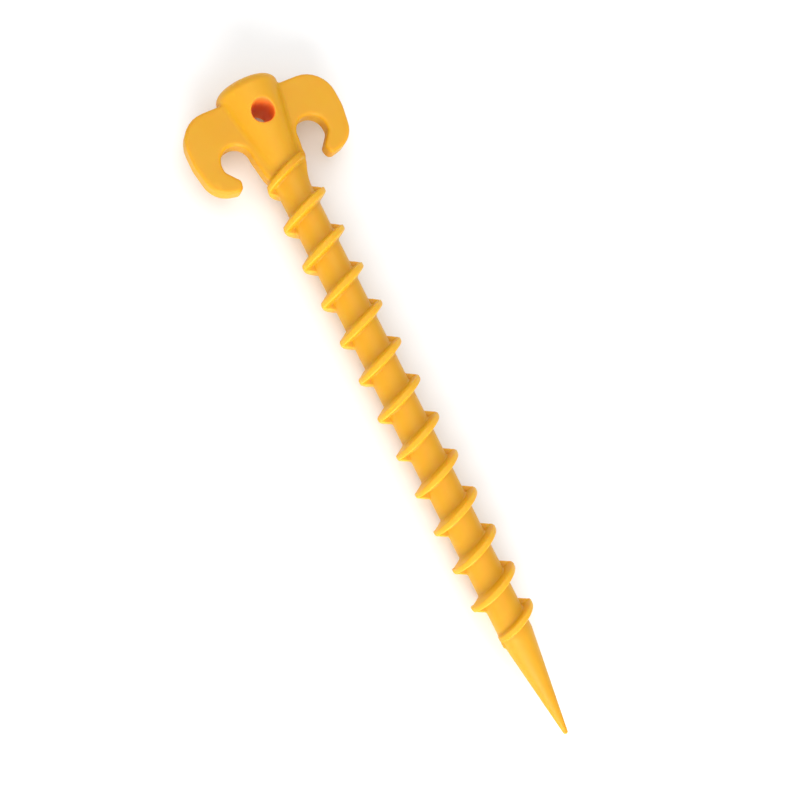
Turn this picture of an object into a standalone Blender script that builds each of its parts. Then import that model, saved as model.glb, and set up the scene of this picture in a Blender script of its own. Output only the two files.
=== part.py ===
"""Screw-in tent stake: one plastic moulding, lying flat with its two hooks side by side.

The stake is drawn upright, with its axis on Z, the top of its head at z = 0 and the point
below, and is then laid along +X with the head at the +X end. All lengths are in metres.
"""

from math import ceil, cos, pi, radians, sin, tan

import bmesh
import bpy
from mathutils import Vector

MM = 0.001

# Shank and point
LENGTH = 250.0 * MM
SHANK_RADIUS = 5.95 * MM
POINT_START = 211.5 * MM
POINT_RADIUS = 0.9 * MM

# Head post, a round cone that the hooks grow out of
HEAD_RADIUS = 11.4 * MM
HEAD_FLAT_RADIUS = 6.2 * MM
HEAD_SHOULDER = 3.6 * MM
POST_FOOT_RADIUS = 7.2 * MM
POST_FOOT = 28.5 * MM
SHANK_START = 34.0 * MM

# Eye through the post
EYE_RADIUS = 4.0 * MM
EYE_DEPTH = 13.2 * MM

# Hooks, one flat plate with rounded edges
PLATE_THICKNESS = 7.2 * MM
PLATE_EDGE_RADIUS = 1.2 * MM
HOOK_REACH = 28.8 * MM
HOOK_TOP = 4.8 * MM
HOOK_BOTTOM = 34.2 * MM
MOUTH_RADIUS = 5.4 * MM
MOUTH_REACH = 14.6 * MM
MOUTH_TOP = 19.0 * MM
WEB_END = 41.0 * MM

# Thread, right-handed with a single start. Each half turn runs straight across the front or
# the back face, so that a two-part mould can open off it.
PITCH = 14.5 * MM
CREST_TOP_RADIUS = 9.55 * MM
CREST_LOW_RADIUS = 10.1 * MM
SIDE_RADIUS = 9.8 * MM
CREST_HALF_WIDTH = 0.85 * MM
FOOT_HALF_WIDTH = 1.68 * MM
FIRST_FRONT_CREST = 33.7 * MM
THREAD_TURNS = 12.8
LEAD_IN_HEIGHT = 0.8
LEAD_IN_TURNS = 0.5
RUN_OUT_TURNS = 0.8
THREAD_SINK = 1.1 * MM
HALF_OVERLAP = radians(3.0)

# Facets
ROUND_STEPS = 40
HALF_TURN_STEPS = 13
EYE_STEPS = 28
CORNER_STEPS = 5


def clear_scene():
    for obj in list(bpy.data.objects):
        bpy.data.objects.remove(obj, do_unlink=True)


def new_collection(name):
    collection = bpy.data.collections.new(name)
    bpy.context.scene.collection.children.link(collection)
    return collection


def add_object(name, data, collection):
    obj = bpy.data.objects.new(name, data)
    collection.objects.link(obj)
    return obj


def as_guide(obj):
    """A shape that only cuts or joins, and isn't a part itself."""
    obj.hide_render = True
    obj.display_type = "WIRE"
    return obj


def plastic():
    material = bpy.data.materials.new("golden_plastic")
    material.use_nodes = True
    shader = material.node_tree.nodes["Principled BSDF"]
    shader.inputs["Base Color"].default_value = (0.90, 0.46, 0.05, 1.0)
    shader.inputs["Roughness"].default_value = 0.38
    shader.inputs["Metallic"].default_value = 0.0
    return material


def core_radius(depth):
    """Radius of the plain shank or point at a depth below the top of the head."""
    if depth <= POINT_START:
        return SHANK_RADIUS
    share = (depth - POINT_START) / (LENGTH - POINT_START)
    return SHANK_RADIUS + (POINT_RADIUS - SHANK_RADIUS) * share


def core_profile():
    """Outer side of head, post, shank and point as (radius, depth), top to bottom."""
    profile = [(0.0, 0.0)]
    for step in range(CORNER_STEPS + 1):
        turn = 0.5 * pi * step / CORNER_STEPS
        radius = HEAD_FLAT_RADIUS + (HEAD_RADIUS - HEAD_FLAT_RADIUS) * sin(turn)
        profile.append((radius, HEAD_SHOULDER * (1.0 - cos(turn))))
    profile.append((POST_FOOT_RADIUS, POST_FOOT))
    profile.append((SHANK_RADIUS, SHANK_START))
    profile.append((SHANK_RADIUS, POINT_START))
    for step in range(CORNER_STEPS):
        turn = 0.5 * pi * step / CORNER_STEPS
        profile.append((POINT_RADIUS * cos(turn), LENGTH - POINT_RADIUS * (1.0 - sin(turn))))
    profile.append((0.0, LENGTH))
    return profile


def turned(name, profile, steps, collection):
    """A solid of revolution from (radius, depth) points that start and end on the axis."""
    mesh = bpy.data.meshes.new(name)
    points = [(radius, 0.0, -depth) for radius, depth in profile]
    mesh.from_pydata(points, [(i, i + 1) for i in range(len(points) - 1)], [])
    obj = add_object(name, mesh, collection)
    screw = obj.modifiers.new("turn", "SCREW")
    screw.axis = "Z"
    screw.steps = steps
    screw.render_steps = steps
    screw.use_merge_vertices = True
    screw.merge_threshold = 0.00001
    screw.use_smooth_shade = True
    return obj


def rounded_outline(corners):
    """Points of a closed outline whose corners (x, y, radius) are rounded with arcs."""
    points = []
    for index, (x, y, radius) in enumerate(corners):
        corner = Vector((x, y))
        before = Vector(corners[index - 1][:2]) - corner
        after = Vector(corners[(index + 1) % len(corners)][:2]) - corner
        if radius == 0.0:
            points.append(corner)
            continue
        before.normalize()
        after.normalize()
        half_angle = 0.5 * before.angle(after)
        centre = corner + (before + after).normalized() * (radius / sin(half_angle))
        start = corner + before * (radius / tan(half_angle)) - centre
        sweep = (pi - 2.0 * half_angle) * (1.0 if before.cross(after) < 0.0 else -1.0)
        for step in range(CORNER_STEPS + 1):
            turn = sweep * step / CORNER_STEPS
            arm = Vector((start.x * cos(turn) - start.y * sin(turn),
                          start.x * sin(turn) + start.y * cos(turn)))
            points.append(centre + arm)
    return points


def hook_corners():
    """Corners of the right half of the hook plate as (x, depth, rounding radius)."""
    mouth_out = MOUTH_REACH + MOUTH_RADIUS
    mouth_in = MOUTH_REACH - MOUTH_RADIUS
    return [
        (HOOK_REACH - 0.6 * MM, HOOK_TOP, 10.6 * MM),
        (HOOK_REACH, HOOK_TOP + 15.5 * MM, 20.0 * MM),
        (HOOK_REACH - 2.0 * MM, HOOK_BOTTOM - 1.6 * MM, 8.6 * MM),
        (MOUTH_REACH + 2.4 * MM, HOOK_BOTTOM + 0.6 * MM, 2.0 * MM),
        (MOUTH_REACH + 1.5 * MM, HOOK_BOTTOM - 3.2 * MM, 1.8 * MM),
        (mouth_out, MOUTH_TOP + 7.3 * MM, 2.6 * MM),
        (mouth_out, MOUTH_TOP, MOUTH_RADIUS),
        (mouth_in, MOUTH_TOP, MOUTH_RADIUS),
        (mouth_in - 0.2 * MM, MOUTH_TOP + 6.4 * MM, 2.0 * MM),
        (SHANK_RADIUS + 1.9 * MM, HOOK_BOTTOM - 1.0 * MM, 14.0 * MM),
        (SHANK_RADIUS - 1.2 * MM, WEB_END, 0.0),
    ]


def hook_plate(collection):
    """Both hooks and the web between them, as one flat outline with rounded edges."""
    right = [(x, -depth, radius) for x, depth, radius in hook_corners()]
    left = [(-x, y, radius) for x, y, radius in reversed(right)]
    points = rounded_outline(right + left)
    curve = bpy.data.curves.new("hook_outline", "CURVE")
    curve.dimensions = "2D"
    curve.fill_mode = "BOTH"
    curve.extrude = 0.5 * PLATE_THICKNESS - PLATE_EDGE_RADIUS
    curve.bevel_depth = PLATE_EDGE_RADIUS
    curve.bevel_resolution = 1
    curve.offset = -PLATE_EDGE_RADIUS
    spline = curve.splines.new("POLY")
    spline.points.add(len(points) - 1)
    for point, place in zip(spline.points, points):
        point.co = (place.x, place.y, 0.0, 1.0)
    spline.use_cyclic_u = True
    outline = add_object("hook_outline", curve, collection)
    outline.rotation_euler = (radians(90.0), 0.0, 0.0)
    return mesh_from_curve(outline, "hook_plate", collection)


def mesh_from_curve(source, name, collection):
    """The curve as a closed mesh in the same place. The curve itself is removed."""
    bpy.context.view_layer.update()
    graph = bpy.context.evaluated_depsgraph_get()
    mesh = bpy.data.meshes.new_from_object(source.evaluated_get(graph))
    shape = bmesh.new()
    shape.from_mesh(mesh)
    bmesh.ops.remove_doubles(shape, verts=shape.verts, dist=0.00001)
    bmesh.ops.recalc_face_normals(shape, faces=shape.faces)
    shape.to_mesh(mesh)
    shape.free()
    obj = add_object(name, mesh, collection)
    obj.matrix_world = source.matrix_world.copy()
    bpy.data.objects.remove(source, do_unlink=True)
    return obj


def thread_height(turn):
    """Share of the full thread height after a number of turns from the head end."""
    growth = min(1.0, max(0.0, turn / LEAD_IN_TURNS - 1.0))
    lead_in = LEAD_IN_HEIGHT + (1.0 - LEAD_IN_HEIGHT) * growth
    run_out = min(1.0, (THREAD_TURNS - turn) / RUN_OUT_TURNS)
    return max(0.0, min(lead_in, run_out))


def thread_section(turn):
    """The thread's section after a number of turns, as (radius, offset along the axis) points."""
    height = thread_height(turn)
    core = core_radius(FIRST_FRONT_CREST + PITCH * (turn - 0.25))
    major = CREST_TOP_RADIUS + (CREST_LOW_RADIUS - CREST_TOP_RADIUS) * turn / THREAD_TURNS
    foot = core - THREAD_SINK
    buried = foot + 0.5 * THREAD_SINK
    crest = buried + (major - buried) * height
    spread = 0.3 + 0.7 * height
    return [
        (foot, -FOOT_HALF_WIDTH * spread),
        (crest, -CREST_HALF_WIDTH * spread),
        (crest, CREST_HALF_WIDTH * spread),
        (foot, FOOT_HALF_WIDTH * spread),
    ]


def add_half_turn(shape, half, facing):
    """One half turn of the thread, lofted straight across its face from one side to the other."""
    loops = []
    for step in range(HALF_TURN_STEPS + 1):
        swing = -HALF_OVERLAP + (pi + 2.0 * HALF_OVERLAP) * step / HALF_TURN_STEPS
        loop = []
        for radius, offset in thread_section(0.5 * half + swing / (2.0 * pi)):
            run = 0.25 * (1.0 - radius * cos(swing) / SIDE_RADIUS)
            depth = FIRST_FRONT_CREST + PITCH * (0.5 * half + run - 0.25) + offset
            loop.append(shape.verts.new((facing * radius * cos(swing),
                                         -facing * radius * sin(swing), -depth)))
        loops.append(loop)
    for first, second in zip(loops, loops[1:]):
        for i in range(len(first)):
            j = (i + 1) % len(first)
            shape.faces.new((first[i], first[j], second[j], second[i]))
    shape.faces.new(loops[0])
    shape.faces.new(reversed(loops[-1]))


def thread_ribs(name, first_half, facing, collection):
    """Every second half turn of the thread, which all lie on the same face of the shank."""
    shape = bmesh.new()
    for half in range(first_half, ceil(2.0 * THREAD_TURNS), 2):
        add_half_turn(shape, half, facing)
    bmesh.ops.recalc_face_normals(shape, faces=shape.faces)
    mesh = bpy.data.meshes.new(name)
    shape.to_mesh(mesh)
    shape.free()
    return add_object(name, mesh, collection)


def eye_cutter(collection):
    shape = bmesh.new()
    bmesh.ops.create_cone(shape, cap_ends=True, segments=EYE_STEPS, radius1=EYE_RADIUS,
                          radius2=EYE_RADIUS, depth=4.0 * HEAD_RADIUS)
    mesh = bpy.data.meshes.new("eye_cutter")
    shape.to_mesh(mesh)
    shape.free()
    cutter = add_object("eye_cutter", mesh, collection)
    cutter.rotation_euler = (radians(90.0), 0.0, 0.0)
    cutter.location = (0.0, 0.0, -EYE_DEPTH)
    return cutter


def combine(obj, other, operation):
    step = obj.modifiers.new(other.name, "BOOLEAN")
    step.operation = operation
    step.solver = "EXACT"
    step.object = other


def build():
    clear_scene()
    parts = new_collection("tent_stake")
    guides = new_collection("shaping")
    laid_flat = bpy.data.objects.new("laid_flat", None)
    parts.objects.link(laid_flat)
    laid_flat.rotation_euler = (radians(-90.0), 0.0, radians(-90.0))
    laid_flat.location = (0.5 * LENGTH, 0.0, HEAD_RADIUS)

    stake = turned("screw_stake", core_profile(), ROUND_STEPS, parts)
    stake.data.materials.append(plastic())
    plate = as_guide(hook_plate(guides))
    front_thread = as_guide(thread_ribs("front_thread", 0, 1.0, guides))
    back_thread = as_guide(thread_ribs("back_thread", 1, -1.0, guides))
    eye = as_guide(eye_cutter(guides))
    combine(stake, plate, "UNION")
    combine(stake, front_thread, "UNION")
    combine(stake, back_thread, "UNION")
    combine(stake, eye, "DIFFERENCE")
    for obj in (stake, plate, front_thread, back_thread, eye):
        obj.parent = laid_flat
    bpy.context.view_layer.update()


build()
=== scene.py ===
import math

import bmesh
import bpy
import numpy as np
from mathutils import Matrix, Vector


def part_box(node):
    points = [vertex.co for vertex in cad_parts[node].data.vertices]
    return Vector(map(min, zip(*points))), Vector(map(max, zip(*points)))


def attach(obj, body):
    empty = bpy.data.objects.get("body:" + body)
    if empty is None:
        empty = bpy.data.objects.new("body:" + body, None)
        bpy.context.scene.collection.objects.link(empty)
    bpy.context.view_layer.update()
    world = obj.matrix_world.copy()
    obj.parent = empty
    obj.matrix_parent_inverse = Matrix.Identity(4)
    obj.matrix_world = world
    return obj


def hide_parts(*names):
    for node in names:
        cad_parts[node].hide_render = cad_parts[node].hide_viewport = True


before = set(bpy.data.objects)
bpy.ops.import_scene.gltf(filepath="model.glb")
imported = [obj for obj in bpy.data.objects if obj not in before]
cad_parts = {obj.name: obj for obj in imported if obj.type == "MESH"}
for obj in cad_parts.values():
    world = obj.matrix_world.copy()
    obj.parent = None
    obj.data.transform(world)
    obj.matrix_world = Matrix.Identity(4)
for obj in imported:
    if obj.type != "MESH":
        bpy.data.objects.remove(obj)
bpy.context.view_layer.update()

mm = 0.001
stakeNode = "screw_stake"
low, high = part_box(stakeNode)
headX = high.x  # the top of the head is the +X end
axisZ = 0.5 * (low.z + high.z)  # height of the shank's axis above the floor

# every size of the moulding, in millimetres, with depths counted down from the top of the head
stake = {
    "length": 250.0,
    "shankRadius": 5.95,
    "pointStart": 211.5,
    "pointRadius": 0.9,
    "headRadius": 11.4,
    "headFlat": 6.2,
    "headShoulder": 3.6,
    "postFoot": (28.5, 7.2),  # depth, radius
    "shankStart": 34.0,
    "eyeDepth": 13.2,
    "eyeRadius": 4.0,
    "eyeRim": 0.7,  # radius of the rounded rim
    "plateThickness": 7.2,
    "plateEdge": 1.2,
    "plateFillet": 1.1,
    "hookReach": 28.8,
    "hookTop": 4.8,
    "hookBottom": 34.2,
    "mouthRadius": 5.4,
    "mouthReach": 14.6,
    "mouthTop": 19.0,
    "webEnd": 41.0,
    "pitch": 14.5,
    "firstCrest": 33.7,  # depth of the first half turn in the middle of the front
    "turns": 12.8,
    "start": 0.04,  # turns over which the thread rises out of the web
    "leadInHeight": 0.8,  # share of the full height that it starts with
    "leadIn": 0.5,  # turns at that height, and as many again to the full height
    "runOut": 0.8,  # turns over which it fades at the point
    "fadeDepth": 1.6,  # how far under the surface a faded crest lies
    "crestTop": 9.55,  # radius of the crest at the first turn
    "crestLow": 10.1,  # and at the last
    "sideRadius": 9.8,  # radius where the half turns of the front and the back meet
    "crestHalf": 0.85,
    "crestSpread": 0.4,  # extra half width of the crest in the middle of a face
    "crestRound": 0.45,
    "footHalf": 1.85,
    "halfOverlap": 0.25,  # how far the half turns of one face reach past the parting plane
    "stepFillet": 0.7,  # where the two faces' half turns meet
    "threadFillet": 0.6,
    "threadReach": 10.0,  # how far above the first crest the thread can reach
    "webReach": 6.0,  # how far below the web its fillets can reach
}


def roundedOutline(corners, steps=8):
    # corner points (x, y, radius) turned into one smooth closed line
    points = []
    for i, (x, y, radius) in enumerate(corners):
        corner = Vector((x, y))
        if radius == 0.0:
            points.append(corner)
            continue
        before = (Vector(corners[i - 1][:2]) - corner).normalized()
        after = (Vector(corners[(i + 1) % len(corners)][:2]) - corner).normalized()
        half = 0.5 * before.angle(after)
        centre = corner + (before + after).normalized() * (radius / math.sin(half))
        start = corner + before * (radius / math.tan(half)) - centre
        sweep = math.copysign(math.pi - 2.0 * half, -before.cross(after))
        for step in range(steps + 1):
            points.append(centre + Matrix.Rotation(sweep * step / steps, 2) @ start)
    return np.array([tuple(point) for point in points])


def hookOutline():
    # one hook and its web, square on: corners are (distance from the axis, depth, radius)
    outer = stake["mouthReach"] + stake["mouthRadius"]
    inner = stake["mouthReach"] - stake["mouthRadius"]
    reach, top, bottom = stake["hookReach"], stake["hookTop"], stake["hookBottom"]
    mouth = stake["mouthTop"]
    return roundedOutline([
        (-reach, top, 0.0),
        (reach - 0.6, top, 10.6),  # shoulder
        (reach, top + 15.5, 20.0),  # widest part of the back
        (reach - 2.0, bottom - 1.6, 8.6),  # outer corner of the tip
        (outer - 3.0, bottom + 0.6, 2.0),
        (outer - 3.9, bottom - 3.2, 1.8),
        (outer, mouth + 7.3, 2.6),  # lip of the mouth
        (outer, mouth, stake["mouthRadius"]),
        (inner, mouth, stake["mouthRadius"]),
        (inner - 0.2, mouth + 6.4, 2.0),
        (stake["shankRadius"] + 1.9, bottom - 1.0, 14.0),  # web sweeping into the shank
        (stake["shankRadius"] - 1.2, stake["webEnd"], 0.0),
        (-reach, stake["webEnd"], 0.0),
    ])


def coreOutline(steps=10):
    # half section of the head post, shank and point as (depth, radius), closed along the axis
    points = [(0.0, -1.0)]
    for step in range(steps + 1):
        turn = 0.5 * math.pi * step / steps
        points.append((stake["headShoulder"] * (1.0 - math.cos(turn)),
                       stake["headFlat"] + (stake["headRadius"] - stake["headFlat"]) * math.sin(turn)))
    points.append(stake["postFoot"])
    points.append((stake["shankStart"], stake["shankRadius"]))
    points.append((stake["pointStart"], stake["shankRadius"]))
    for step in range(steps + 1):
        turn = 0.5 * math.pi * step / steps
        points.append((stake["length"] - stake["pointRadius"] * (1.0 - math.sin(turn)),
                       stake["pointRadius"] * math.cos(turn)))
    points.append((stake["length"], -1.0))
    return np.array(points)


def outlineDistance(outline, a, b):
    # signed distance from points (a, b) to a closed outline, negative inside
    nearest = np.full(a.shape, 1e9)
    inside = np.zeros(a.shape, bool)
    ends = np.roll(outline, -1, axis=0)
    for (x0, y0), (x1, y1) in zip(outline, ends):
        ex, ey = x1 - x0, y1 - y0
        length2 = ex * ex + ey * ey
        if length2 < 1e-12:
            continue
        along = np.clip(((a - x0) * ex + (b - y0) * ey) / length2, 0.0, 1.0)
        nearest = np.minimum(nearest, (a - x0 - along * ex) ** 2 + (b - y0 - along * ey) ** 2)
        if ey != 0.0:
            crosses = (y0 > b) != (y1 > b)
            inside ^= crosses & (a < x0 + (b - y0) * ex / ey)
    return np.where(inside, -1.0, 1.0) * np.sqrt(nearest)


def filletJoin(a, b, radius):
    # union of two shapes with a moulded fillet in the corner between them
    corner = np.hypot(np.maximum(radius - a, 0.0), np.maximum(radius - b, 0.0))
    return np.maximum(radius, np.minimum(a, b)) - corner


def roundedCut(a, b, radius):
    # shape a with shape b taken away and the rim rounded over
    rim = np.hypot(np.maximum(radius + a, 0.0), np.maximum(radius - b, 0.0))
    return np.minimum(-radius, np.maximum(a, -b)) + rim


def coreRadius(depth):
    # the shank and the point, without the head
    share = (depth - stake["pointStart"]) / (stake["length"] - stake["pointStart"])
    taper = (stake["pointRadius"] - stake["shankRadius"]) * np.clip(share, 0.0, 1.0)
    return stake["shankRadius"] + taper


def halfThreadDistance(depth, side, height, facing):
    # the half turns on one face, 1 for the front and -1 for the back, each straight across it
    pitch = stake["pitch"]
    radius = np.hypot(side, height)
    start = 0.0 if facing > 0.0 else 0.5
    run = start + 0.25 * (1.0 + facing * side / stake["sideRadius"])
    crest = stake["firstCrest"] + pitch * (run - 0.25)
    offset = (depth - crest + 0.5 * pitch) % pitch - 0.5 * pitch
    swing = np.arctan2(facing * height, -facing * side)
    swing = np.where(swing < -0.5 * math.pi, swing + 2.0 * math.pi, swing)
    turn = (depth - offset - crest) / pitch + start + swing / (2.0 * math.pi)
    growth = np.clip(turn / stake["leadIn"] - 1.0, 0.0, 1.0)
    leadIn = stake["leadInHeight"] + (1.0 - stake["leadInHeight"]) * growth
    leadIn *= np.clip(1.0 + turn / stake["start"], 0.0, 1.0)
    share = np.clip(np.minimum(leadIn, (stake["turns"] - turn) / stake["runOut"]), 0.0, 1.0)
    core = coreRadius(depth - offset)
    done = np.clip(turn / stake["turns"], 0.0, 1.0)
    full = stake["crestTop"] + (stake["crestLow"] - stake["crestTop"]) * done
    top = core + (full - core) * share - stake["fadeDepth"] * (1.0 - share)
    rise = full - core
    spread = np.maximum(1.0 - (side / stake["sideRadius"]) ** 2, 0.0)
    crestHalf = stake["crestHalf"] + stake["crestSpread"] * spread
    lean = stake["footHalf"] - crestHalf
    slope = np.hypot(rise, lean)
    wall = ((np.abs(offset) - crestHalf) * rise + (radius - top) * lean) / slope
    return roundedCut(wall, top - radius, stake["crestRound"])


def threadDistance(depth, side, height):
    # both faces of the right-handed thread, from under the hooks to the start of the point
    lap = stake["halfOverlap"]
    front = roundedCut(halfThreadDistance(depth, side, height, 1.0), height + lap, lap)
    back = roundedCut(halfThreadDistance(depth, side, height, -1.0), lap - height, lap)
    return filletJoin(front, back, stake["stepFillet"])


hookLine = hookOutline()
coreLine = coreOutline()


def stakeDistance(points):
    # signed distance in millimetres from points in the frame's metres to the finished moulding
    depth = (headX - points[:, 0]) / mm
    side = points[:, 1] / mm
    height = (points[:, 2] - axisZ) / mm
    radius = np.hypot(side, height)
    surface = outlineDistance(coreLine, depth, radius)
    threaded = depth > stake["firstCrest"] - stake["threadReach"]
    rib = threadDistance(depth[threaded], side[threaded], height[threaded])
    surface[threaded] = filletJoin(surface[threaded], rib, stake["threadFillet"])
    hooked = depth < stake["webEnd"] + stake["webReach"]
    flat = outlineDistance(hookLine, np.abs(side[hooked]), depth[hooked])
    edge = stake["plateEdge"]
    across = flat + edge
    through = np.abs(height[hooked]) - 0.5 * stake["plateThickness"] + edge
    plate = np.hypot(np.maximum(across, 0.0), np.maximum(through, 0.0))
    plate += np.minimum(np.maximum(across, through), 0.0) - edge
    head = filletJoin(surface[hooked], plate, stake["plateFillet"])
    eye = np.hypot(side[hooked], depth[hooked] - stake["eyeDepth"]) - stake["eyeRadius"]
    surface[hooked] = roundedCut(head, eye, stake["eyeRim"])
    return surface


moulding = {
    "merge": 1e-7,  # metres
    "voxel": 0.32 * mm,
    "smoothing": 4,  # rounds
    "settling": (5, 2),  # rounds before and after the thinning
    "keep": 0.62,  # share of the faces kept by the thinning
    "probe": 0.02,  # millimetres
    "reach": 0.6,  # longest slide in one round, in millimetres
    "gentlest": 0.05,  # smallest squared slope that is trusted
}


def settleOn(points, rounds):
    # slides points along the slope of the distance until they lie on the moulding
    probe, reach = moulding["probe"], moulding["reach"]
    for _ in range(rounds):
        distance = stakeDistance(points)
        slope = np.zeros_like(points)
        for axis in range(3):
            step = np.zeros(3)
            step[axis] = probe * mm
            rise = stakeDistance(points + step) - stakeDistance(points - step)
            slope[:, axis] = rise / (2.0 * probe)
        size = np.maximum((slope ** 2).sum(axis=1), moulding["gentlest"])
        move = np.clip(distance / size, -reach, reach)
        points = points - slope * (move * mm)[:, None]
    return points


def readPoints(mesh):
    points = np.zeros(len(mesh.vertices) * 3)
    mesh.vertices.foreach_get("co", points)
    return points.reshape(-1, 3)


def writePoints(mesh, points):
    mesh.vertices.foreach_set("co", points.astype(np.float32).ravel())
    mesh.update()


def bakeModifiers(obj):
    # the object keeps the shape that its modifiers give it
    graph = bpy.context.evaluated_depsgraph_get()
    mesh = bpy.data.meshes.new_from_object(obj.evaluated_get(graph))
    obj.modifiers.clear()
    old = obj.data
    obj.data = mesh
    bpy.data.meshes.remove(old)
    return mesh


def buildMoulding():
    # the plain solid remeshed finely, then settled onto the filleted surface
    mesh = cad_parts[stakeNode].data.copy()
    obj = bpy.data.objects.new("moulded_stake", mesh)
    bpy.context.scene.collection.objects.link(obj)
    shape = bmesh.new()
    shape.from_mesh(mesh)
    bmesh.ops.remove_doubles(shape, verts=shape.verts, dist=moulding["merge"])
    shape.to_mesh(mesh)
    shape.free()
    remesh = obj.modifiers.new("remesh", "REMESH")
    remesh.mode = "VOXEL"
    remesh.voxel_size = moulding["voxel"]
    smooth = obj.modifiers.new("smooth", "SMOOTH")
    smooth.iterations = moulding["smoothing"]
    mesh = bakeModifiers(obj)
    print("moulding: remeshed to", len(mesh.polygons), "faces")
    before, after = moulding["settling"]
    writePoints(mesh, settleOn(readPoints(mesh), before))
    thin = obj.modifiers.new("thin", "DECIMATE")
    thin.ratio = moulding["keep"]
    mesh = bakeModifiers(obj)
    writePoints(mesh, settleOn(readPoints(mesh), after))
    mesh.materials.clear()
    mesh.shade_smooth()
    print("moulding: thinned to", len(mesh.polygons), "faces")
    return obj


plastic = {
    "colour": (0.665, 0.325, 0.004, 1.0),
    "paintedCornerShade": (0.635, 0.212, 0.002, 1.0),  # painted shade in the inner corners
    "paleCloudsAndEdgeHighlight": (0.73, 0.395, 0.009, 1.0),  # flow clouds, and painted highlight on the outer edges
    "cloudScale": 60.0,
    "cloudAmount": 0.3,
    "cornerShadeAmount": 0.5,
    "edgeHighlightAmount": 0.5,
    "cornerShadePointiness": (0.50, 0.42),  # where a corner starts and where it is full
    "edgeHighlightPointiness": (0.52, 0.62),
    "rib": (0.74, 0.40, 0.011, 1.0),  # painted highlight on the crests of the thread, paler where light passes through the thin plastic
    "ribFoot": 0.5 * mm,  # height over the shank where the paler colour starts
    "ribTop": 1.2 * mm,  # depth under the crest where it is full
    "ribFade": 3.0 * mm,  # length below the hooks over which it comes in
    "bore": (1.0, 0.26, 0.03, 1.0),  # painted light and shade on the wall of the eye, which is lit only through the plastic
    "boreFade": (0.55 * mm, 0.04 * mm),  # past the wall, where it ends and where it is full
    "scatter": 0.6,
    "scatterDepth": 3.0 * mm,
    "scatterReach": (1.0, 0.36, 0.06),
    "refraction": 1.49,
    "shine": 0.4,
    "smoothest": 0.42,
    "roughest": 0.56,
    "grainScale": 2600.0,
    "grainAmount": 0.35,
    "waveScale": 140.0,
    "waveRange": (0.3, 0.7),  # span of the waves that the roughness follows
    "relief": 0.06 * mm,
}


def newNode(tree, kind, place, **values):
    node = tree.nodes.new(kind)
    node.location = place
    for name, value in values.items():
        setattr(node, name, value)
    return node


def newRange(tree, place, span, **values):
    # maps a value running through the span to 0 and then 1
    node = newNode(tree, "ShaderNodeMapRange", place, **values)
    node.inputs["From Min"].default_value = span[0]
    node.inputs["From Max"].default_value = span[1]
    return node


def newGroup(name, colours=(), numbers=()):
    group = bpy.data.node_groups.new(name, "ShaderNodeTree")
    for kind, names in (("NodeSocketColor", colours), ("NodeSocketFloat", numbers)):
        for socket in names:
            group.interface.new_socket(socket, in_out="INPUT", socket_type=kind)
    return group


def cloudsAndPaintedLightGroup():
    # flow clouds of a tinted, slightly clear plastic, with painted highlight on the outer edges and
    # painted shade in the inner corners
    amounts = ("Cloud Scale", "Cloud Amount", "Corner Shade Amount", "Edge Highlight Amount")
    group = newGroup("cloudsAndPaintedLight", ("Colour", "Painted Corner Shade", "Pale Clouds And Edge Highlight"), amounts)
    group.interface.new_socket("Colour", in_out="OUTPUT", socket_type="NodeSocketColor")
    into = newNode(group, "NodeGroupInput", (-900, 0))
    out = newNode(group, "NodeGroupOutput", (700, 0))
    place = newNode(group, "ShaderNodeTexCoord", (-900, -260))
    cloud = newNode(group, "ShaderNodeTexNoise", (-640, -220))
    cloud.inputs["Detail"].default_value = 3.0
    shape = newNode(group, "ShaderNodeNewGeometry", (-900, -520))
    # the pointiness picks the inner corners for painted shade
    corner = newRange(group, (-640, -520), plastic["cornerShadePointiness"])
    # the pointiness picks the outer edges for painted highlight
    edge = newRange(group, (-640, -800), plastic["edgeHighlightPointiness"])
    cloudShare = newNode(group, "ShaderNodeMath", (-400, -220), operation="MULTIPLY")
    cornerShadeShare = newNode(group, "ShaderNodeMath", (-400, -520), operation="MULTIPLY")
    edgeHighlightShare = newNode(group, "ShaderNodeMath", (-400, -800), operation="MULTIPLY")
    clouded = newNode(group, "ShaderNodeMix", (-100, 60), data_type="RGBA")
    edgeHighlighted = newNode(group, "ShaderNodeMix", (140, 60), data_type="RGBA")
    cornerShaded = newNode(group, "ShaderNodeMix", (380, 60), data_type="RGBA")
    link = group.links.new
    link(place.outputs["Object"], cloud.inputs["Vector"])
    link(into.outputs["Cloud Scale"], cloud.inputs["Scale"])
    link(cloud.outputs["Fac"], cloudShare.inputs[0])
    link(into.outputs["Cloud Amount"], cloudShare.inputs[1])
    link(shape.outputs["Pointiness"], corner.inputs["Value"])
    link(shape.outputs["Pointiness"], edge.inputs["Value"])
    link(corner.outputs["Result"], cornerShadeShare.inputs[0])
    link(into.outputs["Corner Shade Amount"], cornerShadeShare.inputs[1])
    link(edge.outputs["Result"], edgeHighlightShare.inputs[0])
    link(into.outputs["Edge Highlight Amount"], edgeHighlightShare.inputs[1])
    link(into.outputs["Colour"], clouded.inputs["A"])
    link(into.outputs["Pale Clouds And Edge Highlight"], clouded.inputs["B"])
    link(cloudShare.outputs[0], clouded.inputs["Factor"])
    # painted highlight on the outer edges
    link(clouded.outputs["Result"], edgeHighlighted.inputs["A"])
    link(into.outputs["Pale Clouds And Edge Highlight"], edgeHighlighted.inputs["B"])
    link(edgeHighlightShare.outputs[0], edgeHighlighted.inputs["Factor"])
    # painted shade in the inner corners
    link(edgeHighlighted.outputs["Result"], cornerShaded.inputs["A"])
    link(into.outputs["Painted Corner Shade"], cornerShaded.inputs["B"])
    link(cornerShadeShare.outputs[0], cornerShaded.inputs["Factor"])
    link(cornerShaded.outputs["Result"], out.inputs["Colour"])
    return group


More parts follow.
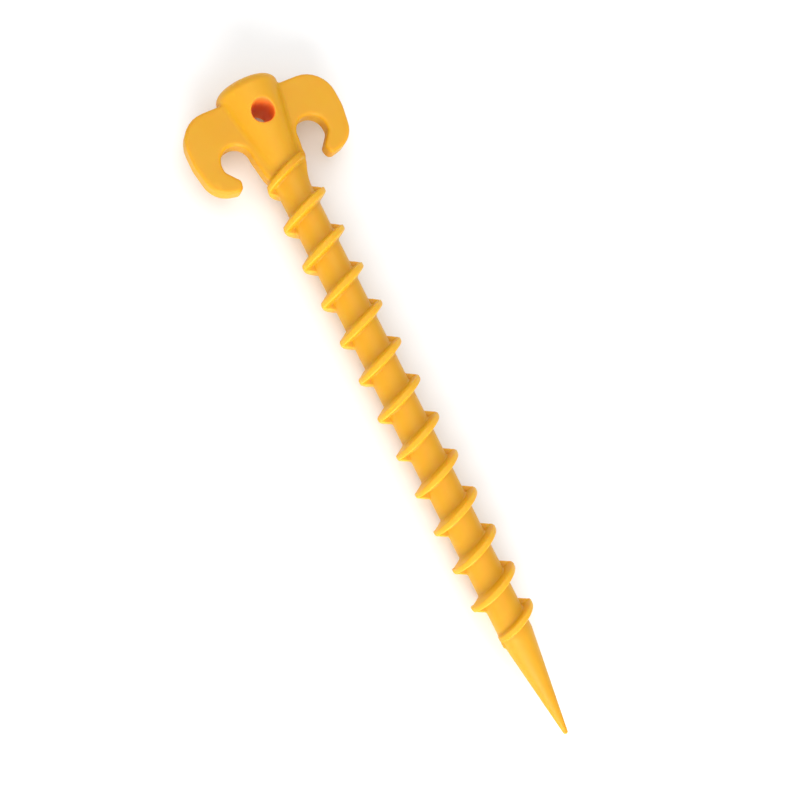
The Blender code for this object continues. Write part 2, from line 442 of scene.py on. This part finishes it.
def boreGroup():
    # mask of the painted light and shade in the eye: 1 on its wall, fading out over its rounded rim
    group = newGroup("eyeBorePaintedLight")
    group.interface.new_socket("Bore Light", in_out="OUTPUT", socket_type="NodeSocketFloat")
    out = newNode(group, "NodeGroupOutput", (500, 0))
    place = newNode(group, "ShaderNodeTexCoord", (-700, 0))
    flat = newNode(group, "ShaderNodeVectorMath", (-480, 0), operation="MULTIPLY")
    flat.inputs[1].default_value = (1.0, 1.0, 0.0)
    away = newNode(group, "ShaderNodeVectorMath", (-260, 0), operation="DISTANCE")
    away.inputs[1].default_value = (headX - stake["eyeDepth"] * mm, 0.0, 0.0)
    span = [stake["eyeRadius"] * mm + past for past in plastic["boreFade"]]
    fade = newRange(group, (-20, 0), span, interpolation_type="SMOOTHSTEP")
    link = group.links.new
    link(place.outputs["Object"], flat.inputs[0])
    link(flat.outputs[0], away.inputs[0])
    link(away.outputs["Value"], fade.inputs["Value"])
    link(fade.outputs["Result"], out.inputs["Bore Light"])
    return group


def ribHighlightGroup():
    # mask of the painted highlight on the thread: 1 on the crests, which light passes through, falling
    # to 0 at the shank
    group = newGroup("paintedRibHighlight")
    group.interface.new_socket("Rib Highlight", in_out="OUTPUT", socket_type="NodeSocketFloat")
    out = newNode(group, "NodeGroupOutput", (900, 0))
    place = newNode(group, "ShaderNodeTexCoord", (-700, 0))
    centred = newNode(group, "ShaderNodeVectorMath", (-480, 0), operation="SUBTRACT")
    centred.inputs[1].default_value = (0.0, 0.0, axisZ)
    across = newNode(group, "ShaderNodeVectorMath", (-260, 120), operation="MULTIPLY")
    across.inputs[1].default_value = (0.0, 1.0, 1.0)
    radius = newNode(group, "ShaderNodeVectorMath", (-40, 120), operation="LENGTH")
    span = (stake["shankRadius"] * mm + plastic["ribFoot"], stake["crestTop"] * mm - plastic["ribTop"])
    raised = newRange(group, (180, 120), span, interpolation_type="SMOOTHSTEP")
    parts = newNode(group, "ShaderNodeSeparateXYZ", (-260, -160))
    hooksEnd = headX - stake["hookBottom"] * mm
    span = (hooksEnd, hooksEnd - plastic["ribFade"])
    threaded = newRange(group, (180, -160), span, interpolation_type="SMOOTHSTEP")
    share = newNode(group, "ShaderNodeMath", (500, 0), operation="MULTIPLY")
    link = group.links.new
    link(place.outputs["Object"], centred.inputs[0])
    link(centred.outputs[0], across.inputs[0])
    link(across.outputs[0], radius.inputs[0])
    link(radius.outputs["Value"], raised.inputs["Value"])
    link(place.outputs["Object"], parts.inputs[0])
    link(parts.outputs["X"], threaded.inputs["Value"])
    link(raised.outputs["Result"], share.inputs[0])
    link(threaded.outputs["Result"], share.inputs[1])
    link(share.outputs[0], out.inputs["Rib Highlight"])
    return group


def mouldTextureGroup():
    # fine spark-eroded grain of the mould, with slow waves from uneven cooling
    amounts = ("Grain Scale", "Grain Amount", "Wave Scale", "Smooth", "Rough")
    group = newGroup("mouldTexture", numbers=amounts)
    group.interface.new_socket("Height", in_out="OUTPUT", socket_type="NodeSocketFloat")
    group.interface.new_socket("Roughness", in_out="OUTPUT", socket_type="NodeSocketFloat")
    into = newNode(group, "NodeGroupInput", (-900, 0))
    out = newNode(group, "NodeGroupOutput", (500, 0))
    place = newNode(group, "ShaderNodeTexCoord", (-900, -300))
    grain = newNode(group, "ShaderNodeTexNoise", (-600, 120))
    grain.inputs["Detail"].default_value = 2.0
    wave = newNode(group, "ShaderNodeTexNoise", (-600, -240))
    wave.inputs["Detail"].default_value = 2.0
    grainShare = newNode(group, "ShaderNodeMath", (-340, 120), operation="MULTIPLY")
    height = newNode(group, "ShaderNodeMath", (-100, 60), operation="ADD")
    rough = newRange(group, (-100, -240), plastic["waveRange"])
    link = group.links.new
    link(place.outputs["Object"], grain.inputs["Vector"])
    link(place.outputs["Object"], wave.inputs["Vector"])
    link(into.outputs["Grain Scale"], grain.inputs["Scale"])
    link(into.outputs["Wave Scale"], wave.inputs["Scale"])
    link(grain.outputs["Fac"], grainShare.inputs[0])
    link(into.outputs["Grain Amount"], grainShare.inputs[1])
    link(grainShare.outputs[0], height.inputs[0])
    link(wave.outputs["Fac"], height.inputs[1])
    link(wave.outputs["Fac"], rough.inputs["Value"])
    link(into.outputs["Smooth"], rough.inputs["To Min"])
    link(into.outputs["Rough"], rough.inputs["To Max"])
    link(height.outputs[0], out.inputs["Height"])
    link(rough.outputs["Result"], out.inputs["Roughness"])
    return group


def goldenPlastic():
    material = bpy.data.materials.new("goldenPlastic")
    material.use_nodes = True
    tree = material.node_tree
    shader = tree.nodes["Principled BSDF"]
    # flow clouds, with painted highlight on the edges and painted shade in the corners
    colour = newNode(tree, "ShaderNodeGroup", (-760, 200), node_tree=cloudsAndPaintedLightGroup())
    colour.inputs["Colour"].default_value = plastic["colour"]
    colour.inputs["Painted Corner Shade"].default_value = plastic["paintedCornerShade"]
    colour.inputs["Pale Clouds And Edge Highlight"].default_value = plastic["paleCloudsAndEdgeHighlight"]
    colour.inputs["Cloud Scale"].default_value = plastic["cloudScale"]
    colour.inputs["Cloud Amount"].default_value = plastic["cloudAmount"]
    colour.inputs["Corner Shade Amount"].default_value = plastic["cornerShadeAmount"]
    colour.inputs["Edge Highlight Amount"].default_value = plastic["edgeHighlightAmount"]
    # painted highlight on the crests of the thread
    rib = newNode(tree, "ShaderNodeGroup", (-760, 480), node_tree=ribHighlightGroup())
    ribHighlighted = newNode(tree, "ShaderNodeMix", (-500, 240), data_type="RGBA")
    ribHighlighted.inputs["B"].default_value = plastic["rib"]
    tree.links.new(rib.outputs["Rib Highlight"], ribHighlighted.inputs["Factor"])
    tree.links.new(colour.outputs["Colour"], ribHighlighted.inputs["A"])
    # painted light and shade on the wall of the eye
    bore = newNode(tree, "ShaderNodeGroup", (-500, 480), node_tree=boreGroup())
    inside = newNode(tree, "ShaderNodeMix", (-240, 300), data_type="RGBA")
    inside.inputs["B"].default_value = plastic["bore"]
    tree.links.new(bore.outputs["Bore Light"], inside.inputs["Factor"])
    tree.links.new(ribHighlighted.outputs["Result"], inside.inputs["A"])
    tree.links.new(inside.outputs["Result"], shader.inputs["Base Color"])
    texture = newNode(tree, "ShaderNodeGroup", (-500, -200), node_tree=mouldTextureGroup())
    texture.inputs["Grain Scale"].default_value = plastic["grainScale"]
    texture.inputs["Grain Amount"].default_value = plastic["grainAmount"]
    texture.inputs["Wave Scale"].default_value = plastic["waveScale"]
    texture.inputs["Smooth"].default_value = plastic["smoothest"]
    texture.inputs["Rough"].default_value = plastic["roughest"]
    tree.links.new(texture.outputs["Roughness"], shader.inputs["Roughness"])
    bump = newNode(tree, "ShaderNodeBump", (-240, -260))
    bump.inputs["Distance"].default_value = plastic["relief"]
    tree.links.new(texture.outputs["Height"], bump.inputs["Height"])
    tree.links.new(bump.outputs["Normal"], shader.inputs["Normal"])
    shader.inputs["IOR"].default_value = plastic["refraction"]
    shader.inputs["Specular IOR Level"].default_value = plastic["shine"]
    shader.inputs["Subsurface Weight"].default_value = plastic["scatter"]
    shader.inputs["Subsurface Scale"].default_value = plastic["scatterDepth"]
    shader.inputs["Subsurface Radius"].default_value = plastic["scatterReach"]
    print("plastic: material made")
    return material


studio = {
    "floorColour": (0.92, 0.92, 0.92, 1.0),
    "floorRoughness": 0.8,
    "floorReach": 3.0,  # metres
    "skyColour": (1.0, 1.0, 1.0, 1.0),
    "skyStrength": 0.76,
    "lights": {  # places are across, up and out from the target, in metres
        "keyLight": {"place": (0.1, -0.95, 0.55), "size": 0.8, "watts": 13.5},
        "fillLight": {"place": (0.3, 0.4, 1.1), "size": 1.2, "watts": 5.0},
    },
}


def paleFloor():
    material = bpy.data.materials.new("paleFloor")
    material.use_nodes = True
    shader = material.node_tree.nodes["Principled BSDF"]
    shader.inputs["Base Color"].default_value = studio["floorColour"]
    shader.inputs["Roughness"].default_value = studio["floorRoughness"]
    shape = bmesh.new()
    bmesh.ops.create_grid(shape, x_segments=1, y_segments=1, size=studio["floorReach"])
    mesh = bpy.data.meshes.new("floor")
    shape.to_mesh(mesh)
    shape.free()
    floor = bpy.data.objects.new("floor", mesh)
    mesh.materials.append(material)
    bpy.context.scene.collection.objects.link(floor)


view = {
    "distance": 420.0 * mm,
    "roll": math.radians(17.0),  # round the shank, towards the left hook
    "tilt": math.radians(26.57),  # of the shank from upright, as the camera sees it
    "squareTo": 118.0 * mm,  # depth at which the line of sight is square to the shank
    "centre": 121.0 * mm,  # depth at the middle of the view
    "width": 275.0 * mm,  # of the view, at the shank
    "sensor": 36.0,  # millimetres, as the camera counts it
    "nearest": 10.0 * mm,
}


def addCamera():
    normal = Vector((0.0, math.sin(view["roll"]), math.cos(view["roll"])))
    along = Vector((1.0, 0.0, 0.0))
    right = along.cross(normal)
    up = along * math.cos(view["tilt"]) + right * math.sin(view["tilt"])
    across = right * math.cos(view["tilt"]) - along * math.sin(view["tilt"])
    data = bpy.data.cameras.new("camera")
    camera = bpy.data.objects.new("camera", data)
    bpy.context.scene.collection.objects.link(camera)
    target = Vector((headX - view["squareTo"], 0.0, axisZ))
    turn = Matrix((across, up, normal)).transposed().to_4x4()
    camera.matrix_world = Matrix.Translation(target + normal * view["distance"]) @ turn
    data.sensor_width = view["sensor"]
    data.lens = data.sensor_width * view["distance"] / view["width"]
    shift = view["centre"] - view["squareTo"]
    data.shift_x = shift * math.sin(view["tilt"]) / view["width"]
    data.shift_y = -shift * math.cos(view["tilt"]) / view["width"]
    data.clip_start = view["nearest"]
    bpy.context.scene.camera = camera
    return across, up, normal, target


def addLights(across, up, normal, target):
    # a low key light from the point's end, a fill light overhead and an even white sky
    for name, light in studio["lights"].items():
        data = bpy.data.lights.new(name, "AREA")
        data.shape = "SQUARE"
        data.size = light["size"]
        data.energy = light["watts"]
        lamp = bpy.data.objects.new(name, data)
        bpy.context.scene.collection.objects.link(lamp)
        sideways, upward, outward = light["place"]
        place = target + across * sideways + up * upward + normal * outward
        lamp.location = place
        lamp.rotation_euler = (target - place).to_track_quat("-Z", "Y").to_euler()
    world = bpy.data.worlds.new("studio")
    world.use_nodes = True
    sky = world.node_tree.nodes["Background"]
    sky.inputs["Color"].default_value = studio["skyColour"]
    sky.inputs["Strength"].default_value = studio["skyStrength"]
    bpy.context.scene.world = world
    bpy.context.scene.view_settings.view_transform = "Standard"


body = buildMoulding()
body.data.materials.append(goldenPlastic())
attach(body, "root")
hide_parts(stakeNode)
paleFloor()
addLights(*addCamera())
print("studio: floor, camera and lights placed")
